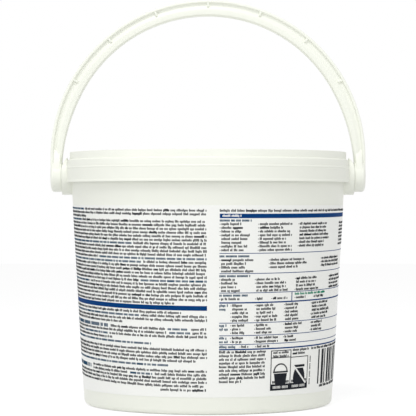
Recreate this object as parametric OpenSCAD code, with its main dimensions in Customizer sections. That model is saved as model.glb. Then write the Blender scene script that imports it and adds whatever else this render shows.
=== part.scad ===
// Round pail of wet wipes: handle, snap lid with a flip cap, wrap label and the pouch inside.
// Millimetres, +Z up, origin on the floor at the pail's centre.
// The small print of the label faces -Y and the label's front faces +Y.

/* [Pail] */
// Outer radius that the wall's slope would reach at the floor
base_r = 97.3; // [90:0.1:102]
// Outer radius of the wall at the rim
rim_r = 108.4; // [104:0.1:112]
// Height of the rim above the floor
pail_h = 190.5; // [180:0.5:205]
// Thickness of the wall
wall_t = 1.6; // [1.2:0.1:2.2]
// Thickness of the bottom
bottom_t = 2; // [1.5:0.1:3]
// How far the bottom is raised inside its foot ring
bottom_lift = 1.5; // [1:0.1:3]
// Radius of the outer edge of the foot
foot_round = 4.5; // [3:0.1:6]
// Width of the foot ring that the pail stands on
foot_w = 5; // [3:0.1:8]

/* [Collar] */
// Height of the collar that hangs round the rim
collar_h = 12.5; // [9:0.1:16]
// How far the collar's top lies below the rim
collar_drop = 4; // [3.5:0.1:6]
// How far the collar stands out from the wall at the rim
collar_out = 3.3; // [2.9:0.1:3.6]
// Thickness of the collar
collar_t = 1.4; // [1.2:0.1:1.8]
// How far the bead round the rim stands out
bead_out = 0.9; // [0.5:0.1:1.1]
// Height of that bead
bead_h = 2.2; // [1.5:0.1:2.6]

/* [Handle] */
// Radius of the round pad that carries the handle
ear_r = 14.6; // [13:0.1:16]
// How far the pad's face stands out from the collar
ear_out = 3.2; // [2.6:0.1:4.5]
// Depth of the pivot hole in the pad
bore_depth = 5.8; // [4.5:0.1:6]
// How far the pivot lies below the rim
pivot_drop = 11.5; // [11:0.1:13]
// Radius of the stud that the handle turns on
stud_r = 5; // [4:0.1:6]
// Clearance between the stud and its hole
stud_play = 0.05; // [0.03:0.01:0.08]
// Gap between the pad's face and the handle's hub
hub_gap = 0.3; // [0.2:0.05:0.6]
// Radius of the hub at each end of the handle
hub_r = 12.3; // [10:0.1:13]
// Thickness of the hub
hub_t = 8.7; // [8:0.1:10]
// Height of the handle's straight legs above the pivot
leg_rise = 14.9; // [13:0.1:20]
// Thickness of the arch, measured across the curve
arch_t = 12.2; // [11:0.1:13]
// Width of the strap from side to side
strap_w = 14; // [12:0.1:18]
// Thickness of the strap's outer flange
flange_t = 2.3; // [1.8:0.1:3]
// Depth of the cove under the flange, on each side
cove_d = 2.4; // [1.5:0.1:3]
// Angle between two ribs that cross the cove
rib_step = 20; // [15:1:30]
// Thickness of a rib
rib_t = 1.2; // [1:0.1:2]

/* [Lid] */
// Clearance between the lid and the rim
lid_fit = 0.3; // [0.25:0.05:0.4]
// Thickness of the lid's skirt
skirt_t = 1.5; // [1.2:0.1:1.6]
// Height of the whole lid above the collar
lid_rise = 11.2; // [10:0.1:14]
// Height of the stacking ring that stands on the lid
ring_h = 5.6; // [4:0.1:6]
// Thickness of the stacking ring
ring_t = 2; // [1.6:0.1:3]
// How far the stacking ring is set in from the skirt
ring_in = 2.2; // [1.8:0.1:3]
// Depth of the plug wall below the rim
plug_depth = 9; // [7:0.1:10]
// Thickness of the plug wall
plug_t = 1.5; // [1.2:0.1:2]
// Thickness of the lid's panel
panel_t = 1.8; // [1.4:0.1:2.4]
// How far the panel's underside lies above the plug wall's end
panel_lift = 2.5; // [2:0.1:4]

/* [Dispenser] */
// Radius of the raised deck in the middle of the lid
deck_r = 31; // [30:0.5:36]
// Height of the deck above the panel
deck_h = 7.6; // [7:0.1:7.8]
// Slope of the deck's side, measured at its foot
deck_flare = 3; // [1:0.1:5]
// Radius of the mouth that the wipes are pulled through
mouth_r = 6.2; // [6:0.1:8]
// Number of slits that spread from the mouth
slit_count = 6; // [4:1:8]
// Width of a slit
slit_w = 1.4; // [1:0.1:2]
// Distance from the mouth's centre to the end of a slit
slit_reach = 13; // [11:0.5:15]

/* [Cap] */
// Radius of the flip cap
cap_r = 27; // [25:0.5:28]
// Gap between the closed cap and the deck
cap_gap = 0.3; // [0.2:0.05:0.5]
// Height of the cap
cap_h = 3.5; // [3.2:0.1:3.6]
// Thickness of the cap's top
cap_top_t = 1.4; // [1.2:0.1:1.6]
// Thickness of the cap's rim and of its sealing ring
cap_wall_t = 1.3; // [1:0.1:1.8]
// Radius of the sealing ring under the cap
seal_r = 17; // [16:0.5:20]
// Length of the thumb tab in front of the cap
tab_l = 8; // [5:0.5:10]
// Width of the thumb tab
tab_w = 22; // [14:1:28]
// Radius of the cap's hinge pin
pin_r = 1.5; // [1.2:0.1:1.6]
// Clearance between the hinge pin and its holes
pin_play = 0.05; // [0.03:0.01:0.08]
// Distance from the cap's centre to the hinge pin
hinge_y = 31.5; // [31:0.5:34]
// Width of the cap's arm at the hinge
arm_w = 18; // [12:1:24]
// Width of a hinge knuckle on the lid
knuckle_w = 4; // [3:0.5:6]
// Wall of a hinge knuckle round its hole
knuckle_wall = 1.1; // [1:0.1:1.2]

/* [Label] */
// Height of the label's lower edge
label_low = 13.4; // [8:0.1:20]
// Height of the label's upper edge
label_high = 156.2; // [150:0.1:160]
// Thickness of the label film
label_t = 0.3; // [0.25:0.05:0.4]
// How far the printed shapes stand on the label
ink_t = 0.3; // [0.25:0.05:0.35]
// Height of a row of small print
row_h = 1.3; // [1:0.1:1.6]
// Distance between two rows of small print
row_pitch = 2.76; // [2.6:0.01:2.9]
// Half of the angle that the small print covers, from the middle of the back
back_half = 98; // [90:1:105]
// Half of the angle that the front's coloured field covers
front_half = 72; // [60:1:76]

/* [Pouch] */
// Gap between the pouch and the pail's wall at the bottom
pouch_gap = 2.6; // [1:0.1:6]
// Height of the pouch's shoulder above the pail's bottom
pouch_h = 140; // [120:1:148]
// Radius of the pouch's rounded edges
pouch_round = 14; // [8:1:20]
// Height of the sealed seam on top of the pouch
seam_h = 9; // [5:0.5:14]
// Length of that seam
seam_l = 150; // [100:1:170]
// Thickness of that seam
seam_t = 2.4; // [2:0.1:4]

/* [Hidden] */
$fn = 144;
// Overlap that makes two shapes of one moulding into one solid
weld = 0.4;
// Length added to a cut so that it passes right through
over = 1;
// Clearance under a soft or loose piece
rest_gap = 0.3;

// Outer and inner radius of the wall at height z
function wall_r(z) = base_r + (rim_r - base_r) * z / pail_h;
function inner_r(z) = wall_r(z) - wall_t;
// Points on an arc round c from angle a0 to a1
function arc(c, r, a0, a1, n) =
    [for (i = [0 : n]) let (a = a0 + (a1 - a0) * i / n) [c[0] + r * cos(a), c[1] + r * sin(a)]];

floor_z = bottom_lift + bottom_t;
collar_z = pail_h - collar_drop;
collar_r = rim_r + collar_out;
collar_low = collar_z - collar_h;
pivot_z = pail_h - pivot_drop;
ear_face = collar_r + ear_out;

lid_low = collar_z + lid_fit;
lid_top = collar_z + lid_rise;
skirt_in_r = rim_r + bead_out + lid_fit;
skirt_r = skirt_in_r + skirt_t;
ring_r = skirt_r - ring_in;
crown_z = pail_h + lid_fit;
plug_low = pail_h - plug_depth;
plug_r = inner_r(plug_low) - lid_fit;
plug_in_r = plug_r - plug_t;
panel_z = plug_low + panel_lift;
panel_top = panel_z + panel_t;
deck_top = panel_top + deck_h;
cap_low = deck_top + cap_gap;
cap_top = cap_low + cap_h;
pin_z = cap_low + pin_r;
arm_gap = 0.3;
knuckle_x = arm_w / 2 + arm_gap;
knuckle_r = pin_r + pin_play + knuckle_wall;

hub_in = ear_face + hub_gap;
hub_out = hub_in + hub_t;
arch_r = hub_out;
arch_in_r = arch_r - arch_t;
arch_z = pivot_z + leg_rise;
strap_half = strap_w / 2;

// Pail

module pail_wall() {
    foot_a = atan2(rim_r - base_r, pail_h);
    foot_c = [wall_r(foot_round) - foot_round / cos(foot_a), foot_round];
    under_r = foot_c[0] - foot_w;
    bead_z = pail_h - bead_h - 0.4;
    rotate_extrude()
        polygon(concat(
            [[0, bottom_lift], [under_r - bottom_lift, bottom_lift], [under_r, 0]],
            arc(foot_c, foot_round, -90, -foot_a, 5),
            [
                [wall_r(collar_z - collar_t), collar_z - collar_t],
                [collar_r - collar_t, collar_z - collar_t],
                [collar_r - collar_t, collar_low],
                [collar_r, collar_low],
                [collar_r, collar_z - 0.8],
                [collar_r - 0.8, collar_z],
                [wall_r(collar_z), collar_z],
                [wall_r(bead_z), bead_z],
                [rim_r + bead_out, bead_z + bead_out],
                [rim_r + bead_out, bead_z + bead_h - 0.5],
                [rim_r, pail_h],
                [inner_r(pail_h), pail_h],
                [inner_r(floor_z + 3), floor_z + 3],
                [inner_r(floor_z + 3) - 3, floor_z],
                [0, floor_z]
            ]));
}

// Pad that carries the handle: a round boss whose upper half leans in over the lid's skirt
module ear() {
    lean_z = pivot_z + 3;
    lean_r = 30;
    pad_in = inner_r(pivot_z) + weld;
    difference() {
        intersection() {
            translate([0, 0, pivot_z]) rotate([0, 90, 0]) cylinder(r = ear_r, h = ear_face + over);
            rotate([90, 0, 0])
                translate([0, 0, -ear_r - over])
                linear_extrude(2 * (ear_r + over))
                polygon(concat(
                    [[pad_in, pivot_z + ear_r + over], [pad_in, pivot_z - ear_r - over],
                     [ear_face, pivot_z - ear_r - over]],
                    arc([ear_face - lean_r, lean_z], lean_r, 0, 26, 6)));
        }
        translate([0, 0, collar_z]) cylinder(r = skirt_r + lid_fit, h = ear_r * 2);
    }
}

module pail() {
    color("ivory")
        difference() {
            union() {
                pail_wall();
                for (side = [0, 180]) rotate([0, 0, side]) ear();
            }
            for (side = [0, 180])
                rotate([0, 0, side])
                    translate([ear_face - bore_depth, 0, pivot_z])
                    rotate([0, 90, 0]) cylinder(r = stud_r + stud_play, h = bore_depth + over);
        }
}

// Label and print

// Patch of a thickness t that lies on the wall, lifted off it, from angle a0 to a1 round the pail.
// Angles count from the middle of the back, -Y, and grow towards +X.
module patch(z0, z1, a0, a1, lift, t) {
    rotate([0, 0, a0 - 90])
        rotate_extrude(angle = a1 - a0)
        polygon([
            [wall_r(z0) + lift, z0], [wall_r(z0) + lift + t, z0],
            [wall_r(z1) + lift + t, z1], [wall_r(z1) + lift, z1]
        ]);
}

module label() {
    color("white")
        rotate_extrude()
        polygon([
            [wall_r(label_low), label_low], [wall_r(label_low) + label_t, label_low],
            [wall_r(label_high) + label_t, label_high], [wall_r(label_high), label_high]
        ]);
}

module ink(z0, z1, a0, a1) {
    patch(z0, z1, a0, a1, label_t, ink_t);
}

// Cut that takes a window out of a printed shape, from below its ink to above it
module window(z0, z1, a0, a1) {
    patch(z0, z1, a0, a1, -over, label_t + ink_t + 2 * over);
}

// Depth below the label's upper edge, as a height above the floor
function down(d) = label_high - d;

// Rows of small print: first row's depth, rows, start, end, raggedness of the ends
module rows(d, n, a0, a1, ragged = 0) {
    for (k = [0 : n - 1])
        ink(down(d + k * row_pitch) - row_h / 2, down(d + k * row_pitch) + row_h / 2,
            a0, a1 - ragged * ((k * 5 + n) % 7) / 7);
}

// Columns of a list: each is [start, end, first row's depth, rows]
module list(columns, ragged) {
    for (c = columns) rows(c[2], c[3], c[0], c[1], ragged);
}

module rule(d, h, a0, a1) {
    ink(down(d) - h / 2, down(d) + h / 2, a0, a1);
}

// Left column of the back, in runs of [first row's depth, rows, start, end]
left_start = -back_half;
left_end = -0.4;
first_d = 4.2;
function row_d(k) = first_d + k * row_pitch;
left_black = [
    [row_d(0), 2, left_start, left_end], [row_d(2), 1, left_start, -61],
    [row_d(3), 6, left_start, left_end], [row_d(9), 1, -32, left_end],
    [row_d(10), 3, left_start, left_end], [row_d(13), 1, left_start, -53],
    [row_d(14), 1, -27.5, left_end], [row_d(15), 4, left_start, left_end],
    [row_d(19), 1, left_start, -30], [row_d(20), 1, -60, left_end],
    [row_d(21), 4, left_start, left_end], [row_d(25), 1, left_start, -14],
    [80.2, 1, left_start, -11], [82.9, 1, -29.5, left_end],
    [85.7, 1, left_start, left_end], [88.4, 1, left_start, -39],
    [92.4, 1, -46.5, left_end], [95.2, 2, left_start, left_end],
    [100.8, 1, left_start, -45], [107.8, 3, left_start, left_end],
    [116.1, 1, left_start, -5], [123.6, 4, left_start, left_end],
    [134.7, 1, left_start, -1.5], [137.7, 1, -21, left_end]
];
left_blue = [
    [row_d(9), 1, left_start, -33], [row_d(13), 1, -52, left_end],
    [row_d(14), 1, left_start, -28.5], [row_d(19), 1, -29, left_end],
    [row_d(20), 1, left_start, -61], [82.9, 1, left_start, -30.5],
    [103.6, 1, left_start, -25], [119.4, 1, left_start, -17]
];
// Right column: where it starts, and the depths of its table's rules
right_start = 4.7;
table_rules = [35.7, 50.7, 65.1, 87.4, 96.8, 103.4];
rule_h = 0.55;
heavy_rule_h = 1.1;
heading_h = 1.5;

// Frame with a header and a foot block, a thin line round each
module picture_frame(a0, a1, d0, d1) {
    edge_a = 0.35;
    edge_h = 0.6;
    foot_h = 4.4;
    head_h = 5.6;
    difference() {
        ink(down(d1), down(d0), a0, a1);
        window(down(d0) - head_h, down(d0) - edge_h, a0 + edge_a, a1 - edge_a);
        window(down(d1) + foot_h, down(d0) - head_h - edge_h, a0 + edge_a, a1 - edge_a);
    }
}

// Plain pail under its rim, and a folded sheet, for the two frames
module pail_picture(a, d) {
    ink(down(d) - 12, down(d), a - 3.2, a + 3.2);
    ink(down(d) + 0.8, down(d) + 2.2, a - 4.2, a + 4.2);
}

module sheet_picture(a, d) {
    ink(down(d) - 5.4, down(d) + 2.2, a - 3.6, a + 1.4);
    ink(down(d) - 12, down(d) - 6.2, a - 1.4, a + 3.6);
}

module bars(a0, a1, d0, d1) {
    widths = [2, 1, 1, 2, 1, 3, 1, 2, 1, 1, 3, 1, 2];
    unit = (a1 - a0) / (len(widths) * 3);
    for (k = [0 : len(widths) - 1])
        ink(down(d1), down(d0), a0 + 3 * k * unit, a0 + (3 * k + 0.75 * widths[k]) * unit);
}

module print_black() {
    color("dimgray") {
        for (p = left_black) rows(p[0], p[1], p[2], p[3]);
        rows(first_d, 1, right_start, back_half);
        list([[right_start, 17, 14.1, 8], [20.7, 38, 14.1, 8], [40, 63, 14.1, 7], [73, 94, 14.1, 7]], 5);
        list([[right_start, 20, 40.8, 4], [25.8, 48, 40.8, 3], [55.4, 80, 40.8, 3]], 4);
        list([[right_start, 12, 55.3, 4], [19.7, 36, 55.3, 4], [39.2, 57, 55.3, 4], [63.4, 82, 55.3, 4]], 4);
        list([[right_start, 18, 69.7, 1], [20, 25, 69.7, 1], [27, 36, 69.7, 1], [39.4, 48, 69.7, 1],
              [51, 60, 69.7, 1]], 0);
        list([[9.4, 18, 74.6, 5], [19.9, 31, 74.6, 5], [33.9, 45, 74.6, 5], [49.7, 68, 74.6, 5]], 4);
        list([[9.4, 16, 89.4, 3], [19.9, 29, 89.4, 3], [33.9, 46, 89.4, 3], [49.7, 60, 89.4, 3]], 3);
        list([[9.4, 17, 98.8, 2], [19.9, 32, 98.8, 2], [33.9, 42, 98.8, 2]], 3);
        rows(109.2, 8, right_start, 26.3, 2);
        rows(109.2 + 8 * row_pitch, 1, right_start, 14.5);
        picture_frame(28, 38.1, 109.8, 139.8);
        picture_frame(38.9, 49.4, 109.8, 139.8);
        pail_picture(33, 119.2);
        sheet_picture(44.2, 119.2);
        bars(58, 80, 112.5, 136.8);
    }
}

module print_blue() {
    color("midnightblue") {
        for (p = left_blue) rows(p[0], p[1], p[2], p[3]);
        ink(down(77.8), down(74.5), left_start, left_end);
        ink(down(9.6), down(6.4), right_start, back_half);
        for (d = table_rules) rule(d, rule_h, right_start, back_half);
        rule(72.6, heavy_rule_h, right_start, back_half);
        rule(107.3, heavy_rule_h, right_start, back_half);
        ink(down(71.9), down(65.4), 37.6, 38);
        for (h = [[11.4, 18.2], [37.9, 17.6], [52.6, 17.8], [67, 17.2]])
            rule(h[0], heading_h, right_start, h[1]);
        for (h = [[74.6, 8], [77.4, 7.6], [89.4, 7.4], [92.2, 8.4], [98.8, 7.8], [101.6, 8.4]])
            rule(h[0], row_h, right_start, h[1]);
        rule(105.3, row_h, right_start, 14);
        rule(92.2, 3, left_start, -48);
        front_field();
    }
}

// Front of the label: a wide field of colour with a plain window, three dots and a foot line
front_mid = 180;
field_low = 78;
field_high = down(8);
window_half = 30;
window_low = 94;
window_high = 134;

module front_field() {
    dot_r = 9;
    dot_z = 46;
    dot_step = 30;
    left = front_mid - front_half;
    right = front_mid + front_half;
    difference() {
        ink(field_low, field_high, left, right);
        window(window_low, window_high, front_mid - window_half, front_mid + window_half);
    }
    for (k = [-1 : 1]) dot(front_mid + k * dot_step, dot_z, dot_r);
    ink(label_low + 7, label_low + 10, left, right);
}

// Round spot of ink at angle a and height z
module dot(a, z, r) {
    span = 10;
    intersection() {
        ink(z - r - over, z + r + over, a - span, a + span);
        rotate([0, 0, a - 90])
            translate([0, 0, z]) rotate([0, 90, 0]) cylinder(r = r, h = 2 * rim_r);
    }
}

module print_green() {
    band_h = 3;
    band_gap = 2;
    sheet_h = 7;
    sheet_gap = 3;
    color("seagreen") {
        rule(67, heading_h, 39.4, 60.6);
        ink(field_low - band_gap - band_h, field_low - band_gap,
            front_mid - front_half, front_mid + front_half);
        for (k = [0 : 2])
            ink(window_low + 7 + k * (sheet_h + sheet_gap), window_low + 7 + k * (sheet_h + sheet_gap) + sheet_h,
                front_mid - 16 + 3 * k, front_mid + 10 + 3 * k);
    }
}

// Handle

// Cross-section of the strap: x runs outwards from the arch's centre, y across the strap
module strap_section() {
    edge = 0.8;
    cove_out = arch_r - flange_t;
    cove_w = strap_half - cove_d;
    bead_w = strap_half - 0.6;
    bead_out_r = cove_out - 3.4;
    grip_round = 2.6;
    half = concat(
        [[arch_r, strap_half - edge], [arch_r - edge, strap_half], [cove_out, strap_half],
         [cove_out, cove_w], [cove_out - 0.6, cove_w], [bead_out_r, bead_w]],
        arc([arch_in_r + grip_round, bead_w - grip_round], grip_round, 90, 180, 4));
    polygon(concat(half, [for (i = [len(half) - 1 : -1 : 0]) [half[i][0], -half[i][1]]]));
}

// Space between the legs, seen along Y: it widens from the arch's inside to the legs' inside
module between_legs() {
    blend_a = 30;
    leg_in = hub_in - 0.2;
    reach = [leg_in - arch_in_r * cos(blend_a), -arch_in_r * sin(blend_a)];
    blend_r = -(reach * reach) / (2 * (leg_in * cos(blend_a) - arch_in_r));
    blend_c = [(arch_in_r - blend_r) * cos(blend_a), (arch_in_r - blend_r) * sin(blend_a)];
    intersection() {
        translate([-arch_r, -leg_rise - 2 * hub_r])
            square([2 * arch_r, leg_rise + 2 * hub_r + arch_in_r * sin(blend_a)]);
        translate(blend_c) circle(r = blend_r, $fn = 360);
        translate([-blend_c[0], blend_c[1]]) circle(r = blend_r, $fn = 360);
    }
}

module leg_and_hub() {
    edge = 1;
    dome = 1.6;
    nose = 0.6;
    flare_z = leg_rise + 6;
    stud_end = ear_face - bore_depth + hub_gap;
    translate([0, 0, pivot_z]) {
        linear_extrude(leg_rise) strap_section();
        rotate([0, 90, 0])
            rotate_extrude()
            polygon([
                [0, stud_end], [stud_r - nose, stud_end], [stud_r, stud_end + nose], [stud_r, hub_in],
                [hub_r - edge, hub_in], [hub_r, hub_in + edge], [hub_r, hub_out - 2 * dome],
                [hub_r - dome, hub_out - 0.6], [hub_r - 3 * dome, hub_out], [0, hub_out]
            ]);
        translate([hub_in + edge, 0, 0])
            rotate([90, 0, 90])
            linear_extrude(hub_t - edge - flange_t)
            polygon([[hub_r * cos(20), hub_r * sin(20)], [strap_half - cove_d, flare_z],
                     [cove_d - strap_half, flare_z], [-hub_r * cos(20), hub_r * sin(20)]]);
    }
}

module handle() {
    rib_reach = flange_t + 3.4;
    color("ivory") {
        difference() {
            union() {
                translate([0, 0, arch_z])
                    rotate([90, 0, 0]) rotate_extrude(angle = 180) strap_section();
                translate([0, 0, arch_z])
                    for (a = [90 - 3 * rib_step : rib_step : 90 + 3 * rib_step])
                        rotate([0, -a, 0])
                            translate([arch_r - rib_reach, 0.6 - strap_half, -rib_t / 2])
                            cube([rib_reach - flange_t / 2, strap_w - 1.2, rib_t]);
                for (side = [0, 180]) rotate([0, 0, side]) leg_and_hub();
            }
            difference() {
                translate([0, hub_r + over, arch_z])
                    rotate([90, 0, 0]) linear_extrude(2 * (hub_r + over)) between_legs();
                for (side = [0, 180])
                    rotate([0, 0, side])
                        translate([0, 0, pivot_z])
                        rotate([0, 90, 0]) cylinder(r = stud_r, h = hub_in + over);
            }
        }
    }
}

// Lid and flip cap

module lid_shell() {
    chamfer = ring_in - 0.4;
    ring_z = lid_top - ring_h;
    difference() {
        union() {
            rotate_extrude()
                polygon([
                    [0, panel_z], [plug_in_r, panel_z], [plug_in_r, plug_low + 0.5],
                    [plug_in_r + 0.5, plug_low], [plug_r, plug_low], [plug_r, crown_z],
                    [skirt_in_r, crown_z], [skirt_in_r, lid_low], [skirt_r, lid_low],
                    [skirt_r, ring_z - chamfer], [skirt_r - chamfer, ring_z], [ring_r, ring_z],
                    [ring_r, lid_top - 0.6], [ring_r - 0.6, lid_top], [ring_r - ring_t + 0.4, lid_top],
                    [ring_r - ring_t, lid_top - 0.4], [ring_r - ring_t, crown_z + panel_t],
                    [plug_in_r, crown_z + panel_t], [plug_in_r, panel_top], [0, panel_top]
                ]);
            translate([0, 0, panel_z])
                cylinder(r1 = deck_r + deck_flare, r2 = deck_r, h = deck_top - panel_z);
            translate([-knuckle_x - knuckle_w, -hinge_y - knuckle_r, panel_top - weld])
                cube([2 * (knuckle_x + knuckle_w), knuckle_r + 4, deck_top - panel_top + weld]);
        }
        translate([0, 0, panel_z - over])
            cylinder(r1 = deck_r + deck_flare - panel_t, r2 = deck_r - panel_t,
                     h = deck_top - panel_t - panel_z + over);
        mouth();
    }
}

module mouth() {
    translate([0, 0, deck_top - 2 * panel_t]) {
        cylinder(r = mouth_r, h = 3 * panel_t);
        for (k = [0 : slit_count - 1])
            rotate([0, 0, 360 / slit_count * k])
                translate([0, -slit_w / 2, 0]) cube([slit_reach, slit_w, 3 * panel_t]);
    }
}

module knuckle(x) {
    translate([x, -hinge_y, pin_z])
        rotate([0, 90, 0])
        difference() {
            union() {
                cylinder(r = knuckle_r, h = knuckle_w);
                translate([0, -knuckle_r, 0]) cube([pin_z - deck_top + weld, 2 * knuckle_r, knuckle_w]);
            }
            translate([0, 0, -over]) cylinder(r = pin_r + pin_play, h = knuckle_w + 2 * over);
        }
}

module lid() {
    color("ivory") {
        lid_shell();
        knuckle(knuckle_x);
        knuckle(-knuckle_x - knuckle_w);
    }
}

// How far from the middle a straight edge of width w meets the cap's round rim
function rim_y(w) = sqrt(cap_r * cap_r - w * w / 4);

module cap_shell() {
    side = cap_r - cap_wall_t;
    under = cap_h - cap_top_t;
    translate([0, 0, cap_low])
        rotate_extrude()
        polygon([
            [0, under], [seal_r, under], [seal_r, 0.4], [seal_r + cap_wall_t, 0.4],
            [seal_r + cap_wall_t, under], [side, under], [side, 0], [cap_r, 0],
            [cap_r, cap_h - 0.8], [cap_r - 0.8, cap_h], [0, cap_h]
        ]);
}

module thumb_tab() {
    start = rim_y(tab_w) - weld;
    intersection() {
        translate([-tab_w / 2, start, cap_top - 0.8 - cap_top_t])
            cube([tab_w, cap_r + tab_l - start, cap_top_t]);
        translate([0, 0, cap_low]) cylinder(r = cap_r + tab_l, h = cap_h);
    }
}

module flip_cap() {
    arm_end = rim_y(arm_w) - weld;
    color("ivory") {
        cap_shell();
        thumb_tab();
        translate([-arm_w / 2, -hinge_y, cap_low])
            cube([arm_w, hinge_y - arm_end, cap_h - 0.6]);
        translate([-knuckle_x - knuckle_w, -hinge_y, pin_z])
            rotate([0, 90, 0]) cylinder(r = pin_r, h = 2 * (knuckle_x + knuckle_w));
    }
}

// Pouch

module wipes_pouch() {
    low = floor_z + rest_gap;
    top = floor_z + pouch_h;
    body_r = inner_r(floor_z) - pouch_gap;
    color("lightsteelblue") {
        rotate_extrude()
            polygon(concat(
                [[0, low]],
                arc([body_r - pouch_round, low + pouch_round], pouch_round, -90, 0, 5),
                arc([body_r - pouch_round, top - pouch_round], pouch_round, 0, 80, 5),
                [[0, top + 2]]));
        translate([-seam_l / 2, -seam_t / 2, top - 2]) cube([seam_l, seam_t, seam_h + 2]);
    }
}

pail();
label();
print_black();
print_blue();
print_green();
handle();
lid();
flip_cap();
wipes_pouch();
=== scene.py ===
# %% [markdown]
# # A pail of wet wipes
#
# The photograph shows a round white pail from behind. A swing handle stands upright over a snap
# lid, and a printed film label is wrapped round the wall. The CAD model fixes the place and the
# size of every part. In this lesson each part is modelled again with smooth faces and soft edges,
# gets a finish made of nodes, and rides on the CAD body that moves it.

# %% Frame
import math
import random

import bpy
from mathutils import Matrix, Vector


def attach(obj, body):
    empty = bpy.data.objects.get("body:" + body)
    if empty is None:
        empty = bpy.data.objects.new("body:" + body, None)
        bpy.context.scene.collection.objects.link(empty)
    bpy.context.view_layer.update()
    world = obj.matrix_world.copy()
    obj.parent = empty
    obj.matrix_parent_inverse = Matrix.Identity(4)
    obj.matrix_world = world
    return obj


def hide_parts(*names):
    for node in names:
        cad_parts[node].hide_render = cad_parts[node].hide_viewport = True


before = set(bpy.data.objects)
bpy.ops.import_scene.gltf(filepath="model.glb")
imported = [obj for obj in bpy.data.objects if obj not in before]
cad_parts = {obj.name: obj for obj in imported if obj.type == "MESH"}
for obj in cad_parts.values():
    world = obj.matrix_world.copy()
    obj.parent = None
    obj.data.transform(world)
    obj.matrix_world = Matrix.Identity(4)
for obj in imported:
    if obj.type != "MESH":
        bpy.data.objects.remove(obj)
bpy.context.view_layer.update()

MM = 0.001
TURN = 2 * math.pi
print("nodes:", ", ".join(sorted(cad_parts)))

# %% [markdown]
# ## Camera
#
# The photograph was taken from half the height of the pail with its handle up, because the lid's
# edge bends up a little and the foot bends down about three times as much. A lens of 175 mm at
# 1.6 m gives the same bends. The camera comes first, so that every later step can be looked at
# through it.

# %% Camera
CAMERA_FROM = (0, -1.6, 0.154)
SENSOR_W, LENS = 36, 175.3
camera_data = bpy.data.cameras.new("camera")
camera_data.sensor_width = SENSOR_W
camera_data.lens = LENS
camera = bpy.data.objects.new("camera", camera_data)
camera.location = CAMERA_FROM
camera.rotation_euler = (math.pi / 2, 0, 0)
bpy.context.collection.objects.link(camera)
bpy.context.scene.camera = camera
bpy.context.scene.view_settings.view_transform = "Standard"
print("camera at", CAMERA_FROM, "with", LENS, "mm lens")

# %% [markdown]
# ## Measures
#
# The sizes are those of the CAD model, in millimetres, with the origin on the floor at the middle
# of the foot. The wall is a cone, so its radius is a function of the height. Angles round the
# pail count from the middle of the photograph, which is -Y, and grow to the right, towards +X.

# %% Measures
BASE_R, RIM_R, PAIL_H = 97.3, 108.4, 190.5
WALL_T, BOTTOM_Z, FLOOR_Z = 1.6, 1.5, 3.5
COLLAR_Z, COLLAR_LOW, COLLAR_R, COLLAR_T = 186.5, 174.0, 111.7, 1.4
PIVOT_Z, EAR_R, EAR_FACE = 179.0, 14.6, 114.9
HUB_IN, HUB_OUT, HUB_R, STUD_R = 115.2, 123.9, 12.3, 5.0
LABEL_LOW, LABEL_HIGH = 13.4, 156.2


def wall_r(z):
    """Outer radius of the wall at height z."""
    return BASE_R + (RIM_R - BASE_R) * z / PAIL_H


def inner_r(z):
    """Inner radius of the wall at height z."""
    return wall_r(z) - WALL_T


def on_wall(angle, z, lift=0):
    """The point in metres that lies on the wall at an angle and a height, lifted off it."""
    a = math.radians(angle)
    r = wall_r(z) + lift
    return (r * math.sin(a) * MM, -r * math.cos(a) * MM, z * MM)


print("wall radius at label:", round(wall_r(LABEL_LOW), 2), "to", round(wall_r(LABEL_HIGH), 2))

# %% [markdown]
# ## Working in edit mode from a script
#
# Blender's operators act on all that is selected, and the loaded CAD nodes are selected. So every
# step starts by letting go of everything. A finished piece keeps its place in its mesh and has
# its object at the origin, as the CAD nodes have.

# %% Selection helpers
def let_go():
    """Back to object mode with nothing selected."""
    if bpy.context.mode != "OBJECT":
        bpy.ops.object.mode_set(mode="OBJECT")
    bpy.ops.object.select_all(action="DESELECT")


def take(*pieces):
    """Selects these pieces alone and makes the first one active."""
    let_go()
    for piece in pieces:
        piece.select_set(True)
    bpy.context.view_layer.objects.active = pieces[0]
    return pieces[0]


def named(name):
    """Names the primitive that was just added."""
    piece = bpy.context.object
    piece.name = piece.data.name = name
    return piece


def settle(piece):
    """Writes a piece's place and turn into its mesh."""
    take(piece)
    bpy.ops.object.transform_apply(location=True, rotation=True, scale=True)
    return piece


def edit(piece):
    """Opens a piece in edit mode with everything in it selected."""
    take(piece)
    bpy.ops.object.mode_set(mode="EDIT")
    bpy.ops.mesh.select_all(action="SELECT")


def shade(piece, degrees=30):
    """Smooth shading that stays crisp at edges sharper than this."""
    take(piece)
    bpy.ops.object.shade_smooth_by_angle(angle=math.radians(degrees))
    return piece


# %% [markdown]
# Three finishing steps come back on many pieces. A bevel takes the knife edge off a moulding,
# because no plastic part has one, and the small round catches the light as a thin bright line.
# A boolean cuts a hole or trims a piece. Joining makes one object of shapes that are one moulding.

# %% Finishing helpers
def apply(piece, modifier):
    """Makes a modifier's result the piece's own mesh."""
    take(piece)
    bpy.ops.object.modifier_apply(modifier=modifier.name)
    return piece


def bevel(piece, width, segments=2, degrees=40):
    """Rounds the edges that are sharper than this, by a width in mm."""
    step = piece.modifiers.new("bevel", "BEVEL")
    step.width = width * MM
    step.segments = segments
    step.limit_method = "ANGLE"
    step.angle_limit = math.radians(degrees)
    return apply(piece, step)


def carve(piece, cutter, operation="DIFFERENCE"):
    """Cuts a piece with another, or adds it; the other is used up."""
    step = piece.modifiers.new("carve", "BOOLEAN")
    step.operation = operation
    step.object = cutter
    step.solver = "EXACT"
    apply(piece, step)
    bpy.data.objects.remove(cutter)
    return piece


def copied(piece, name):
    """The same piece again, with its own mesh."""
    other = piece.copy()
    other.data = piece.data.copy()
    other.name = other.data.name = name
    bpy.context.collection.objects.link(other)
    return other


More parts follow.
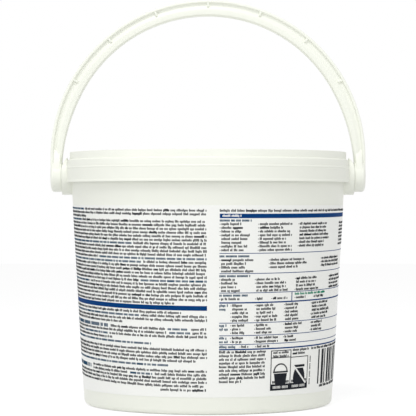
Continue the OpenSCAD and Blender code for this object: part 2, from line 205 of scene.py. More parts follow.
def twin(piece, name):
    """A copy at the other end of the handle's axis."""
    other = copied(piece, name)
    other.rotation_euler = (0, 0, math.pi)
    return settle(other)


def joined(name, *pieces):
    """One object of one or more shapes."""
    piece = take(*pieces)
    if len(pieces) > 1:
        bpy.ops.object.join()
    piece.name = piece.data.name = name
    print(name, "has", len(piece.data.polygons), "faces")
    return piece


def bar(name, x, y, z):
    """A block between two values of x, of y and of z, in mm."""
    let_go()
    middle = [(a + b) / 2 * MM for a, b in (x, y, z)]
    bpy.ops.mesh.primitive_cube_add(size=1, location=middle)
    piece = named(name)
    piece.scale = [(b - a) * MM for a, b in (x, y, z)]
    return settle(piece)


def rod(name, radius, start, end, sides=96, across=True):
    """A cylinder round the X axis, or round the Z axis, from start to end, in mm."""
    let_go()
    bpy.ops.mesh.primitive_cylinder_add(
        vertices=sides, radius=radius * MM, depth=(end - start) * MM,
        rotation=(0, math.pi / 2, 0) if across else (0, 0, 0))
    piece = named(name)
    piece.location[0 if across else 2] = (start + end) / 2 * MM
    return settle(piece)


# %% [markdown]
# ## Turned shapes
#
# Pail, lid, cap and label are round, so each is a profile that is spun round an axis, as on a
# lathe. The profile is drawn as a few corners, each with the radius of its round. Rounding the
# corners in the profile gives even edges all the way round, where a bevel on the finished shell
# would have to guess. The profile itself is one vertex that is extruded from point to point.

# %% Profile and spin
def rounded(corners, closed=False, steps=4):
    """Points of a profile; each corner is (r, z, radius of its round), in mm."""
    points = []
    count = len(corners)
    for i, (x, y, radius) in enumerate(corners):
        corner = Vector((x, y))
        if radius == 0 or (not closed and i in (0, count - 1)):
            points.append(corner)
            continue
        back = Vector(corners[i - 1][:2]) - corner
        on = Vector(corners[(i + 1) % count][:2]) - corner
        half = back.angle(on) / 2
        reach = min(radius / math.tan(half), 0.48 * back.length, 0.48 * on.length)
        radius = reach * math.tan(half)
        inwards = (back.normalized() + on.normalized()).normalized()
        centre = corner + inwards * radius / math.sin(half)
        first = corner + back.normalized() * reach - centre
        last = corner + on.normalized() * reach - centre
        start = math.atan2(first.y, first.x)
        sweep = (math.atan2(last.y, last.x) - start + math.pi) % TURN - math.pi
        for k in range(steps + 1):
            a = start + sweep * k / steps
            points.append(centre + radius * Vector((math.cos(a), math.sin(a))))
    return points


def drawn(name, path, closed):
    """A line from point to point, in metres, made by extruding one vertex, all of it selected."""
    let_go()
    bpy.ops.mesh.primitive_plane_add(size=MM)
    piece = named(name)
    bpy.ops.object.mode_set(mode="EDIT")
    bpy.ops.mesh.merge(type="CENTER")
    bpy.ops.transform.translate(value=path[0])
    for before, after in zip(path, path[1:] + path[:1] * closed):
        bpy.ops.mesh.extrude_vertices_move(TRANSFORM_OT_translate={"value": after - before})
    bpy.ops.mesh.select_all(action="SELECT")
    bpy.ops.mesh.remove_doubles(threshold=1e-6)
    return piece


def turned(name, corners, closed=False, steps=192, smooth=30):
    """A profile in the XZ plane, spun round Z."""
    path = [Vector((p.x * MM, 0, p.y * MM)) for p in rounded(corners, closed)]
    piece = drawn(name, path, closed)
    bpy.ops.mesh.spin(steps=steps, angle=TURN, center=(0, 0, 0), axis=(0, 0, 1))
    bpy.ops.mesh.select_all(action="SELECT")
    bpy.ops.mesh.remove_doubles(threshold=1e-6)
    bpy.ops.mesh.normals_make_consistent(inside=False)
    shade(piece, smooth)
    print(name, "turned from", len(path), "points into", len(piece.data.polygons), "faces")
    return piece


# %% [markdown]
# ## Finishes
#
# A finish is a tree of nodes. Written out link by link it is hard to read, so a small class wraps
# a node's output and lets Python's own signs add the Math nodes. One method makes every other
# node: it takes the type, what goes into the sockets and the settings.

# %% Shader maths
class Number:
    """A node's output that can stand in a Python expression."""

    def __init__(self, finish, socket):
        self.finish, self.socket = finish, socket

    def __add__(self, other):
        return self.finish.maths("ADD", self, other)

    def __sub__(self, other):
        return self.finish.maths("SUBTRACT", self, other)

    def __rsub__(self, other):
        return self.finish.maths("SUBTRACT", other, self)

    def __mul__(self, other):
        return self.finish.maths("MULTIPLY", self, other)

    def above(self, edge, softness):
        """0 below an edge and 1 above it, with a soft step."""
        shift = 0.5 - edge / softness
        return self.finish.maths("MULTIPLY_ADD", self, 1 / softness, shift, clamp=True)

    __radd__ = __add__
    __rmul__ = __mul__


class Finish:
    """The nodes of a material or of the sky, made one expression at a time."""

    def __init__(self, owner):
        self.owner = owner
        self.owner.use_nodes = True
        self.tree = self.owner.node_tree

    def node(self, kind, inputs=None, settings=None, output=0):
        """Adds a shader node, sets it up, fills its sockets and gives one of its outputs."""
        made = self.tree.nodes.new("ShaderNode" + kind)
        for key, value in (settings or {}).items():
            setattr(made, key, value)
        for key, value in (inputs or {}).items():
            self.feed(made.inputs[key], value)
        return Number(self, made.outputs[output])

    def feed(self, socket, value):
        """Links a node's output to a socket, or writes a constant on it."""
        if isinstance(value, Number):
            self.tree.links.new(value.socket, socket)
        else:
            socket.default_value = value

    def maths(self, operation, *values, clamp=False):
        """A Math node with its values, in their order."""
        settings = {"operation": operation, "use_clamp": clamp}
        return self.node("Math", dict(enumerate(values)), settings)

    def noise(self, scale, detail=2.0, upright=1.0):
        """A cloudy pattern, finer with a larger scale; upright below 1 draws it out in height."""
        place = self.node("TexCoord", output="Object")
        if upright != 1:
            place = self.node("Mapping", {"Vector": place, "Scale": (1, 1, upright)})
        return self.node("TexNoise", {"Vector": place, "Scale": scale, "Detail": detail}, output="Fac")

    def blend(self, share, one, other):
        """A colour between two colours."""
        return self.node("Mix", {0: share, 6: one, 7: other}, {"data_type": "RGBA"}, 2)

    def bump(self, height, distance, strength=1.0):
        """Tilts the light as if the surface rose by a distance where the height is 1."""
        inputs = {"Strength": strength, "Distance": distance, "Height": height}
        return self.node("Bump", inputs, output="Normal")

    def set(self, **sockets):
        """Sets the surface shader's sockets, by the short names in SOCKETS."""
        for key, value in sockets.items():
            self.feed(self.tree.nodes["Principled BSDF"].inputs[SOCKETS[key]], value)
        return self.owner

    def seen(self):
        """1 for rays from the camera, and for those that gloss or clear matter send on."""
        kinds = ("Is Camera Ray", "Is Glossy Ray", "Is Transmission Ray")
        rays = self.node("LightPath").socket.node.outputs
        return sum(Number(self, rays[kind]) for kind in kinds)

    def split(self, unseen, seen, output):
        """Shows one shader to the light that bounces about and another to the eye."""
        choice = self.node("MixShader", {0: self.seen(), 1: unseen, 2: seen})
        self.feed(self.tree.nodes[output].inputs["Surface"], choice)


SOCKETS = {
    "colour": "Base Color", "roughness": "Roughness", "normal": "Normal",
    "coat": "Coat Weight", "coat_roughness": "Coat Roughness", "specular": "Specular IOR Level",
}


def new_finish(name):
    """The finish of a new material."""
    return Finish(bpy.data.materials.new(name))


def tint(colour, share):
    """A colour made darker by a share, as four numbers."""
    return tuple(c * (1 - share) for c in colour) + (1.0,)


# %% [markdown]
# ### Moulded plastic
#
# Pail, lid, cap and handle are moulded in an ivory white plastic. Up close it isn't one even
# colour: the melt leaves slow clouds in tone, the mould's blasted surface gives a satin grain,
# and handling leaves patches that are a little glossier. Each of those is a noise of its own
# scale, and together they drive colour, roughness and a bump of a few hundredths of a millimetre.

# %% Plastic finishes
def moulded(name, colour, roughness):
    """Plastic out of a mould; clouds, grain and rubbed patches each have a noise."""
    finish = new_finish(name)
    clouds = finish.noise(14, 3)
    grain = finish.noise(1600, 2)
    rubbed = finish.noise(45, 4).above(0.56, 0.25)
    drawn_down = finish.noise(60, 2, 0.12)
    tone = clouds * 0.7 + drawn_down * 0.3
    return finish.set(
        colour=finish.blend(tone, tint(colour, 0), tint(colour, 0.045)),
        roughness=roughness + 0.12 * (grain - 0.5) - 0.07 * rubbed,
        normal=finish.bump(grain + 20 * clouds, 0.000006, 0.5),
        specular=0.4)


IVORY = (0.875, 0.891, 0.812)
pail_plastic = moulded("pail_plastic", IVORY, 0.42)
lid_plastic = moulded("lid_plastic", tuple(1.012 * c for c in IVORY), 0.38)
handle_plastic = moulded("handle_plastic", tuple(1.02 * c for c in IVORY), 0.38)
cap_plastic = moulded("cap_plastic", tuple(1.03 * c for c in IVORY), 0.38)
print("plastics made for pail, lid, handle and cap")

# %% [markdown]
# ### Label film and inks
#
# The label is a white film, a little bluer and smoother than the plastic under it. Its gloss
# varies where the glue below isn't even, which a wide bump shows as gentle waves. Ink lies on it
# as a thin layer: each colour has a fine mottle where it soaked in more or less. In the small
# blue print the photograph shows a duller blue than in the bars, so that has an ink of its own.

# %% Film and ink finishes
def film(name, colour):
    """Thin white film with slow waves and fine fibres."""
    finish = new_finish(name)
    waves = finish.noise(30, 2, 0.4)
    fibres = finish.noise(900, 3)
    return finish.set(
        colour=finish.blend(fibres, tint(colour, 0), tint(colour, 0.03)),
        roughness=0.34 + 0.1 * (fibres - 0.5) + 0.05 * (waves - 0.5),
        normal=finish.bump(waves + 0.01 * fibres, 0.0004, 0.15),
        coat=0.08, coat_roughness=0.25)


def ink(name, colour, paler):
    """Dull ink that is paler where less of it stayed on the film."""
    finish = new_finish(name)
    mottle = finish.noise(700, 3)
    soaked = finish.noise(90, 2)
    share = (mottle * 0.6 + soaked * 0.4).above(0.5, 0.5)
    return finish.set(
        colour=finish.blend(share, colour + (1.0,), paler + (1.0,)),
        roughness=0.6 + 0.15 * (mottle - 0.5),
        normal=finish.bump(mottle, 0.000005, 0.4),
        specular=0.04)


label_film = film("label_film", (0.885, 0.893, 0.862))
black_ink = ink("black_ink", (0.012, 0.014, 0.018), (0.024, 0.027, 0.034))
blue_ink = ink("blue_ink", (0.001, 0.036, 0.155), (0.0015, 0.05, 0.195))
fine_blue_ink = ink("fine_blue_ink", (0.003, 0.042, 0.092), (0.006, 0.058, 0.118))
green_ink = ink("green_ink", (0.006, 0.2, 0.115), (0.012, 0.25, 0.15))
print("film and inks made")


# %% [markdown]
# ## Putting a piece in its place
#
# Every piece gets its finish and the body that it rides on, and the CAD node that it stands for
# is hidden.

# %% Dress
def dress(piece, finish, slot, body, *nodes):
    """Gives a piece its finish, the nodes that it stands for and its body; the slot is not used."""
    piece.data.materials.clear()
    piece.data.materials.append(finish)
    if nodes:
        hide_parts(*nodes)
    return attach(piece, body)


# %% [markdown]
# ## The pail
#
# The pail is one thin wall with a raised bottom, a foot ring, and a collar that hangs round the
# rim. The collar has a thin lip along its lower and its upper edge, and throws the shadow that
# the photograph shows above the label. All of it is one profile, from the middle of the
# underside, up the outside and down the inside.

# %% Pail
FOOT_IN, FOOT_SLOPE, FOOT_ROUND, FLOOR_ROUND = 88.05, 1.5, 4.5, 3
UNDER_Z, COLLAR_IN = COLLAR_Z - COLLAR_T, COLLAR_R - COLLAR_T
LIP, LIP_LOW, LIP_HIGH = 0.25, COLLAR_LOW + 0.9, COLLAR_Z - 1.2
BEAD_Z, BEAD_OUT, BEAD_R = 187.9, 0.9, RIM_R + 0.9
pail_profile = [
    (0, BOTTOM_Z, 0), (FOOT_IN - FOOT_SLOPE, BOTTOM_Z, 0.8), (FOOT_IN, 0, 0.8),
    (wall_r(0) - 0.1, 0, FOOT_ROUND), (wall_r(UNDER_Z), UNDER_Z, 0.8), (COLLAR_IN, UNDER_Z, 0.6),
    (COLLAR_IN, COLLAR_LOW, 0.4), (COLLAR_R, COLLAR_LOW, 0.12), (COLLAR_R, LIP_LOW, 0.3),
    (COLLAR_R - LIP, LIP_LOW + 1.1, 0.8), (COLLAR_R - LIP, LIP_HIGH - 0.7, 0.8),
    (COLLAR_R, LIP_HIGH, 0.2), (COLLAR_R - 2 * LIP, COLLAR_Z, 0), (wall_r(COLLAR_Z), COLLAR_Z, 0.3),
    (wall_r(BEAD_Z), BEAD_Z, 0.2), (BEAD_R, BEAD_Z + BEAD_OUT, 0.4), (BEAD_R, PAIL_H - BEAD_OUT, 0.5),
    (RIM_R, PAIL_H, 0.5), (inner_r(PAIL_H), PAIL_H, 0.5), (inner_r(FLOOR_Z), FLOOR_Z, FLOOR_ROUND),
    (0, FLOOR_Z, 0)]
pail = turned("pail_shell", pail_profile)
dress(pail, pail_plastic, "pail_plastic", "pail", "pail")

# %% [markdown]
# ### The pads that carry the handle
#
# On each side a round pad stands out from the collar, with the hole that the handle's stud turns
# in. In the photograph its upper edge leans in over the lid. It starts as a cylinder, is cut in
# level strips so that its face can bend, and each vertex in the upper part of the face then
# moves in along an arc. Two cuts make room for the lid's skirt and for the stud.

# %% Pads
LEAN_Z, LEAN_R, LEAN_FROM = 184.0, 14.0, 110
PAD_START, SKIRT_ROOM, HOLE_DEPTH, PLAY = 105.8, 111.25, 5.8, 0.05
pad = rod("pad", EAR_R, PAD_START, EAR_FACE)
pad.location.z = PIVOT_Z * MM
settle(pad)
for height in range(int(LEAN_Z) + 1, math.ceil(PIVOT_Z + EAR_R)):
    edit(pad)
    bpy.ops.mesh.bisect(plane_co=(0, 0, height * MM), plane_no=(0, 0, 1))
let_go()
for vertex in pad.data.vertices:
    rise = vertex.co.z / MM - LEAN_Z
    if rise > 0 and vertex.co.x > LEAN_FROM * MM:
        vertex.co.x -= (LEAN_R - math.sqrt(LEAN_R**2 - rise**2)) * MM
bevel(pad, 0.4, 3, 50)
carve(pad, rod("skirt_room", SKIRT_ROOM, COLLAR_Z, 200, 192, across=False))
stud_hole = rod("stud_hole", STUD_R + PLAY, EAR_FACE - HOLE_DEPTH, EAR_FACE + 1)
stud_hole.location.z = PIVOT_Z * MM
carve(pad, settle(stud_hole))
shade(pad, 35)
pads = joined("pail_pads", pad, twin(pad, "pad_left"))
dress(pads, pail_plastic, "pail_plastic", "pail", "pail")

# %% [markdown]
# ## The lid
#
# From the outside in, the lid has a skirt that snaps over the rim, a step, a stacking ring, a
# plug wall that dips into the pail, a panel with a low ridge, and a deck in the middle. It is
# another profile, this time with the underside first. Only its edge shows in the photograph, so
# the panel and the deck follow what such dispensing lids have.

# %% Lid
LID_LOW, LID_TOP, SKIRT_IN, SKIRT_R = COLLAR_Z + 0.02, 197.7, 109.6, 111.1
STEP_LOW, STEP_HIGH, RING_R, RING_IN, WELL_Z = 191.3, 192.1, 108.9, 106.9, 192.6
PLUG_LOW, PLUG_R, PLUG_IN, CROWN_Z = 181.5, 105.98, 104.48, 190.8
PANEL_Z, PANEL_TOP, RIDGE_R, RIDGE_TOP = 184.0, 185.8, 95.2, 186.4
DECK_TOP, DECK_UNDER, DECK_R, DECK_FOOT = 193.4, 191.6, 31.0, 33.4
lid_profile = [
    (0, DECK_UNDER, 0), (DECK_R - 1.8, DECK_UNDER, 0.8), (DECK_FOOT - 1.2, PANEL_Z, 0.8),
    (PLUG_IN, PANEL_Z, 0.5), (PLUG_IN, PLUG_LOW, 0.4), (PLUG_R, PLUG_LOW, 0.5),
    (PLUG_R, CROWN_Z, 0.6), (SKIRT_IN, CROWN_Z, 0.6), (SKIRT_IN, LID_LOW, 0.4), (SKIRT_R, LID_LOW, 0),
    (SKIRT_R, STEP_LOW, 0.5), (RING_R, STEP_HIGH, 0.3), (RING_R, LID_TOP, 0.4),
    (RING_IN, LID_TOP, 0.6), (RING_IN, WELL_Z, 0.5), (PLUG_IN, WELL_Z, 0.5), (PLUG_IN, PANEL_TOP, 0.8),
    (RIDGE_R + 1.4, PANEL_TOP, 0.3), (RIDGE_R + 0.8, RIDGE_TOP, 0.3),
    (RIDGE_R - 0.8, RIDGE_TOP, 0.3), (RIDGE_R - 1.4, PANEL_TOP, 0.3),
    (DECK_FOOT, PANEL_TOP, 0.8), (DECK_R, DECK_TOP, 0.7), (0, DECK_TOP, 0)]
lid = turned("lid_shell", lid_profile)

# %% [markdown]
# The sheets are pulled up through a star: a round mouth with slits that grip them. One long
# block through the middle makes two slits at once, so three blocks and a rod make the star.

# %% Mouth
SLIT_REACH, SLIT_HALF, MOUTH_R = 13.0, 0.7, 6.2
SLIT_PAIRS = 3
through = (DECK_TOP - 4, DECK_TOP + 2)
carve(lid, rod("mouth", MOUTH_R, *through, 64, across=False))
for turn in range(SLIT_PAIRS):
    slit = bar("slit", (-SLIT_REACH, SLIT_REACH), (-SLIT_HALF, SLIT_HALF), through)
    slit.rotation_euler.z = math.pi / SLIT_PAIRS * turn
    carve(lid, settle(slit))
shade(lid)
print("lid with its mouth has", len(lid.data.polygons), "faces")

# %% [markdown]
# ### The hinge on the lid
#
# At the back of the deck a block carries two knuckles, and the cap's pin runs through them. A
# knuckle is a short rod on a foot with a bore. It is made once and copied to the other side.

# %% Knuckles
HINGE_Y, PIN_Z, PIN_R = -31.5, 195.2, 1.5
KNUCKLE_R, KNUCKLE_X, KNUCKLE_END, KNUCKLE_FOOT = 2.65, 9.3, 13.3, 193.0
BLOCK_Y, BLOCK_LOW = (HINGE_Y - KNUCKLE_R, -26.5), PANEL_TOP - 0.4


def at_hinge(piece):
    """Moves a rod along X from the axis to the hinge line."""
    piece.location = (0, HINGE_Y * MM, PIN_Z * MM)
    return settle(piece)


knuckle = at_hinge(rod("knuckle", KNUCKLE_R, KNUCKLE_X, KNUCKLE_END, 48))
deep = (HINGE_Y - KNUCKLE_R, HINGE_Y + KNUCKLE_R)
foot = bar("foot", (KNUCKLE_X, KNUCKLE_END), deep, (KNUCKLE_FOOT, PIN_Z))
carve(knuckle, foot, "UNION")
carve(knuckle, at_hinge(rod("bore", PIN_R + PLAY, KNUCKLE_X - 1, KNUCKLE_END + 1, 48)))
bevel(knuckle, 0.25, 2, 60)
second = copied(knuckle, "second_knuckle")
second.location.x = -(KNUCKLE_X + KNUCKLE_END) * MM
settle(second)
block = bar("block", (-KNUCKLE_END, KNUCKLE_END), BLOCK_Y, (BLOCK_LOW, DECK_TOP))
bevel(block, 0.5, 3)
hinge = shade(joined("lid_hinge", block, knuckle, second), 35)
for piece in (lid, hinge):
    dress(piece, lid_plastic, "lid_plastic", "lid", "lid")

# %% [markdown]
# ## The flip cap
#
# The cap is a shallow dish turned upside down, with a ring under it that seals round the mouth.
# Its top dips a little so that a thumb finds the middle, an arm at the back holds the pin, and a
# tab in front has three ridges to push against.

# %% Cap
CAP_LOW, CAP_UNDER, CAP_TOP, CAP_R, CAP_WALL = 193.7, 195.8, 197.2, 27.0, 1.3
SEAL_R, SEAL_LOW, DISH_R, DISH_Z = 17.0, CAP_LOW + 0.4, 20.5, CAP_TOP - 0.5
ARM_HALF, ARM_END, ARM_TOP = 9, -25.0, CAP_TOP - 0.6
TAB_START, TAB_REACH, TAB_HALF, TAB_LOW, TAB_TOP = 23.0, 35.0, 11.0, CAP_TOP - 2.2, CAP_TOP - 0.8
THUMB_HALF, THUMB_W, THUMB_TOP = 7.5, 0.9, CAP_TOP - 0.45
cap = turned("cap_shell", [
    (0, CAP_UNDER, 0), (SEAL_R, CAP_UNDER, 0.3), (SEAL_R, SEAL_LOW, 0.3),
    (SEAL_R + CAP_WALL, SEAL_LOW, 0.3), (SEAL_R + CAP_WALL, CAP_UNDER, 0.3),
    (CAP_R - CAP_WALL, CAP_UNDER, 0.3), (CAP_R - CAP_WALL, CAP_LOW, 0.3), (CAP_R, CAP_LOW, 0.3),
    (CAP_R, CAP_TOP, 0.8), (DISH_R + 1, CAP_TOP, 0.6), (DISH_R, DISH_Z, 0.6), (0, DISH_Z, 0)])
arm = bevel(bar("arm", (-ARM_HALF, ARM_HALF), (HINGE_Y, ARM_END), (CAP_LOW, ARM_TOP)), 0.5, 3)
pin = bevel(at_hinge(rod("pin", PIN_R, -KNUCKLE_END, KNUCKLE_END, 48)), 0.3, 2)
tab = bar("tab", (-TAB_HALF, TAB_HALF), (TAB_START, TAB_REACH + 3), (TAB_LOW, TAB_TOP))
carve(tab, rod("tab_end", TAB_REACH, CAP_LOW, CAP_TOP, 256, across=False), "INTERSECT")
bevel(tab, 0.45, 3)
ridges = []
for y in (29.0, 31.0, 33.0):
    ridge = bar("ridge", (-THUMB_HALF, THUMB_HALF), (y, y + THUMB_W), (TAB_TOP - 0.4, THUMB_TOP))
    ridges.append(bevel(ridge, 0.3, 2))
cap = shade(joined("cap_shell", cap, arm, pin, tab, *ridges), 35)
dress(cap, cap_plastic, "cap_plastic", "cap", "flip_cap")

# %% [markdown]
# ## The handle
#
# The handle is a strap that is bent into an arch. Cut across, it is a flat flange on the outside,
# a groove on each side below it, and a rounded grip on the inside. The photograph shows the
# groove as a dark line that follows the arch. The section is drawn once, extruded up the first
# leg, spun over the arch and extruded down the second leg.

# %% Strap
ARCH_R, GROOVE_R, COVE_R, GRIP_R, ARCH_IN, ARCH_Z = 123.85, 121.6, 119.3, 116.4, 111.7, 193.9
STRAP_HALF, GROOVE_HALF, GRIP_HALF = 7.0, 5.2, 6.4
section = [
    (ARCH_R, STRAP_HALF, 0.9), (GROOVE_R, STRAP_HALF, 0.7), (GROOVE_R, GROOVE_HALF, 1.2),
    (COVE_R, GROOVE_HALF, 2.4), (GRIP_R, GRIP_HALF, 3.0), (ARCH_IN, GRIP_HALF, 1.3)]
section += [(r, -y, rounding) for r, y, rounding in reversed(section)]
path = [Vector((p.x * MM, p.y * MM, PIVOT_Z * MM)) for p in rounded(section, closed=True)]
strap = drawn("strap", path, closed=True)
LEG_STEPS, ARCH_STEPS = 6, 120
rise = (ARCH_Z - PIVOT_Z) / LEG_STEPS * MM
for step in range(LEG_STEPS):
    bpy.ops.mesh.extrude_region_move(TRANSFORM_OT_translate={"value": (0, 0, rise)})
bpy.ops.mesh.spin(steps=ARCH_STEPS, angle=math.pi, center=(0, 0, ARCH_Z * MM), axis=(0, 1, 0))
for step in range(LEG_STEPS):
    bpy.ops.mesh.extrude_region_move(TRANSFORM_OT_translate={"value": (0, 0, -rise)})
bpy.ops.mesh.select_all(action="SELECT")
bpy.ops.mesh.remove_doubles(threshold=1e-6)
bpy.ops.mesh.fill_holes(sides=0)
bpy.ops.mesh.normals_make_consistent(inside=False)
let_go()
print("strap has", len(strap.data.polygons), "faces")

# %% [markdown]
# Towards its ends the strap gets thinner from the inside, because the legs pass the lid's edge.
# Below 30 degrees the inside follows a wider circle, and the grip is squeezed towards the groove
# by as much as that circle asks. Moving the vertices keeps the strap's round edges.

# %% Thin the legs
BLEND_A = math.radians(30)
LEG_IN = HUB_IN - 0.2
blend_gap = Vector((LEG_IN - ARCH_IN * math.cos(BLEND_A), -ARCH_IN * math.sin(BLEND_A)))
BLEND_R = blend_gap.length_squared / (2 * (ARCH_IN - LEG_IN * math.cos(BLEND_A)))
BLEND_C = (ARCH_IN - BLEND_R) * Vector((math.cos(BLEND_A), math.sin(BLEND_A)))


def inside_r(x, z):
    """Distance from the arch's centre, or from its middle line beside a leg, to the strap's inside."""
    if z <= 0:
        return BLEND_C.x + math.sqrt(BLEND_R**2 - (z - BLEND_C.y) ** 2)
    if math.atan2(z, x) >= BLEND_A:
        return ARCH_IN
    ray = Vector((x, z)).normalized()
    along = ray.dot(BLEND_C)
    return along + math.sqrt(along**2 - BLEND_C.length_squared + BLEND_R**2)


for vertex in strap.data.vertices:
    x, z = abs(vertex.co.x) / MM, vertex.co.z / MM - ARCH_Z
    r = math.hypot(x, z) if z > 0 else x
    if r < GROOVE_R - 0.01:
        inside = inside_r(x, z)
        squeezed = GROOVE_R - (GROOVE_R - r) * (GROOVE_R - inside) / (GROOVE_R - ARCH_IN)
        grown = squeezed / r
        vertex.co.x *= grown
        if z > 0:
            vertex.co.z = (ARCH_Z + z * grown) * MM
print("inside radius at the legs:", round(inside_r(115, 0), 2))

# %% [markdown]
# Thin ribs cross the groove at every 20 degrees, where the photograph has bright ticks. Each end
# of the strap runs into a round hub with the stud that turns in the pad. A tapered web between
# them takes up the change in width.

# %% Ribs and hubs
RIB_STEP, RIB_HALF, RIB_R = 20, 6.8, GROOVE_R - 0.3
RIB_DEEP, RIB_THICK = (-3.1, 1.4), (-0.75, 0.75)
ribs = []
for k in range(-3, 4):
    rib = bevel(bar("rib", RIB_DEEP, (-RIB_HALF, RIB_HALF), RIB_THICK), 0.25, 2)
    a = math.radians(90 + RIB_STEP * k)
    rib.rotation_euler = (0, -a, 0)
    rib.location = (RIB_R * math.cos(a) * MM, 0, (ARCH_Z + RIB_R * math.sin(a)) * MM)
    ribs.append(settle(rib))
STUD_END, HUB_FACE, HUB_FLAT = EAR_FACE - 5.5, HUB_OUT - 0.05, HUB_R - 3.5
hub = turned("hub", [
    (0, STUD_END, 0), (STUD_R, STUD_END, 0.6), (STUD_R, HUB_IN, 0.3), (HUB_R, HUB_IN, 0.4),
    (HUB_R, HUB_OUT - 1.0, 2.2), (HUB_FLAT, HUB_FACE, 1.5), (0, HUB_FACE, 0)], steps=96)
hub.rotation_euler = (0, math.pi / 2, 0)
hub.location.z = PIVOT_Z * MM
settle(hub)
WEB_IN, WEB_HALF, WEB_LOW, WEB_TOP = HUB_IN + 0.9, HUB_R * 0.94, PIVOT_Z + 4, PIVOT_Z + 20.9
web = bar("web", (WEB_IN, GROOVE_R), (-WEB_HALF, WEB_HALF), (WEB_LOW, WEB_TOP))
edit(web)
bpy.ops.mesh.select_all(action="DESELECT")
bpy.ops.object.mode_set(mode="OBJECT")
for vertex in web.data.vertices:
    vertex.select = vertex.co.z > (WEB_TOP - 1) * MM
bpy.ops.object.mode_set(mode="EDIT")
bpy.ops.transform.resize(value=(1, GROOVE_HALF / WEB_HALF, 1))
bevel(web, 0.5, 3)
hub_end = shade(joined("hub_end", hub, web), 32)
hub_other = twin(hub_end, "hub_other")
handle = shade(joined("handle_strap", strap, hub_end, hub_other, *ribs), 32)
dress(handle, handle_plastic, "handle_plastic", "handle", "handle")

# %% [markdown]
# ## The label
#
# The film is a closed strip with a thickness of about a sixth of a millimetre, spun round the
# pail so that it lies on the wall.

# %% Label film
FILM, GLUE = 0.16, 0.01
label = turned("label_sleeve", [
    (wall_r(LABEL_LOW) + GLUE, LABEL_LOW, 0), (wall_r(LABEL_LOW) + FILM, LABEL_LOW, 0),
    (wall_r(LABEL_HIGH) + FILM, LABEL_HIGH, 0), (wall_r(LABEL_HIGH) + GLUE, LABEL_HIGH, 0)], closed=True)
dress(label, label_film, "label_film", "pail", "label")

# %% [markdown]
# ## Printing
#
# The print is made of flat plates that follow the wall. A plate starts as a grid of one by one
# and is extruded to a thin block. An Array modifier makes as many copies as there are marks with
# that number of cells, stacked two apart, so that a vertex's height tells which copy it is in.
# Each copy is then laid on the wall: across becomes an angle, up becomes a height, and thickness
# becomes the lift off the wall. A wide mark uses more cells, so that it bends with the wall.
#
# The film was cut straight and wrapped a hair askew on a cone, so in the photograph its rows
# climb towards both sides, and more to the left. The climb is a square and a linear term. Where
# the film's ends overlap at the side, one more plate of film shows as a thin step.

# %% Plates
INK_LOW, INK_HIGH = FILM + GLUE, FILM + 0.07
CELL, BACK_HALF = 2.5, 98
OVERLAP = (101.4, 104.4, LABEL_LOW + 0.2, LABEL_HIGH - 0.2)
ASKEW, CURL_TOP, CURL_MORE, CURL_DEPTH = -0.0093, 0.00022, 0.0002, 60


def climb(angle, z):
    """How far in mm a printed row has climbed at an angle, on the back of the label."""
    if abs(angle) > BACK_HALF:
        return 0
    curl = CURL_TOP + CURL_MORE * min(1, (LABEL_HIGH - z) / CURL_DEPTH)
    return curl * angle**2 + ASKEW * angle


def plate_stack(cells, copies):
    """Copies of a unit block with this many cells across, stacked two apart."""
    let_go()
    bpy.ops.mesh.primitive_grid_add(
        x_subdivisions=cells, y_subdivisions=1, size=1, location=(0.5, 0.5, 0))
    stack = settle(named("plate_stack"))
    edit(stack)
    bpy.ops.mesh.extrude_region_move(TRANSFORM_OT_translate={"value": (0, 0, 1)})
    bpy.ops.mesh.select_all(action="SELECT")
    bpy.ops.mesh.normals_make_consistent(inside=False)
    let_go()
    copier = stack.modifiers.new("copier", "ARRAY")
    copier.use_relative_offset = False
    copier.use_constant_offset = True
    copier.constant_offset_displace = (0, 0, 2)
    copier.count = copies
    return apply(stack, copier)


def printed(name, marks, finish, slot, node, low=INK_LOW, high=INK_HIGH):
    """All the marks of an ink in one piece; a mark is (angle, angle, height, height)."""
    by_cells = {}
    for mark in marks:
        by_cells.setdefault(max(1, math.ceil((mark[1] - mark[0]) / CELL)), []).append(mark)
    stacks = []
    for cells, alike in by_cells.items():
        stack = plate_stack(cells, len(alike))
        for vertex in stack.data.vertices:
            u, v, w = vertex.co
            a0, a1, z0, z1 = alike[int(w // 2)]
            angle, z = a0 + u * (a1 - a0), z0 + v * (z1 - z0)
            vertex.co = on_wall(angle, z + climb(angle, z), low + w % 2 * (high - low))
        stacks.append(stack)
    piece = joined(name, *stacks)
    print(name, "holds", len(marks), "marks")
    return dress(piece, finish, slot, "pail", node)


printed("label_seam", [OVERLAP], label_film, "label_film", "label", FILM - GLUE, 2 * FILM)

# %% [markdown]
# ### Small print
#
# The letters of small print are 1.4 millimetres high, which is less than two pixels, so no
# letter has a shape: each is a small upright plate. What the eye does see is kept, which is
# the rhythm. Words differ in length, some letters reach up or down, phrases in capitals are
# level, and a bold word has wider strokes. A seeded generator deals the letters, so that each
# run of the script prints the same label.

# %% Words
LETTER, WORD_GAP = 0.95, 0.85
STROKE, CAPITAL_STROKE, BOLD_STROKE, BOLD_SHARE = 0.74, 0.76, 0.88, 0.07
BODY, REACH_UP, REACH_DOWN, CAPITAL = 1.38, 0.5, 0.4, 1.5
TALL_SHARE, DEEP_SHARE = 0.28, 0.1
FIRST_ROW, ROW_PITCH, GUTTER = 4.2, 2.76, -0.4
SEED = 7
dice = random.Random(SEED)


def degrees_on(z, length):
    """The angle that a length in mm takes up at height z."""
    return math.degrees(length / wall_r(z))


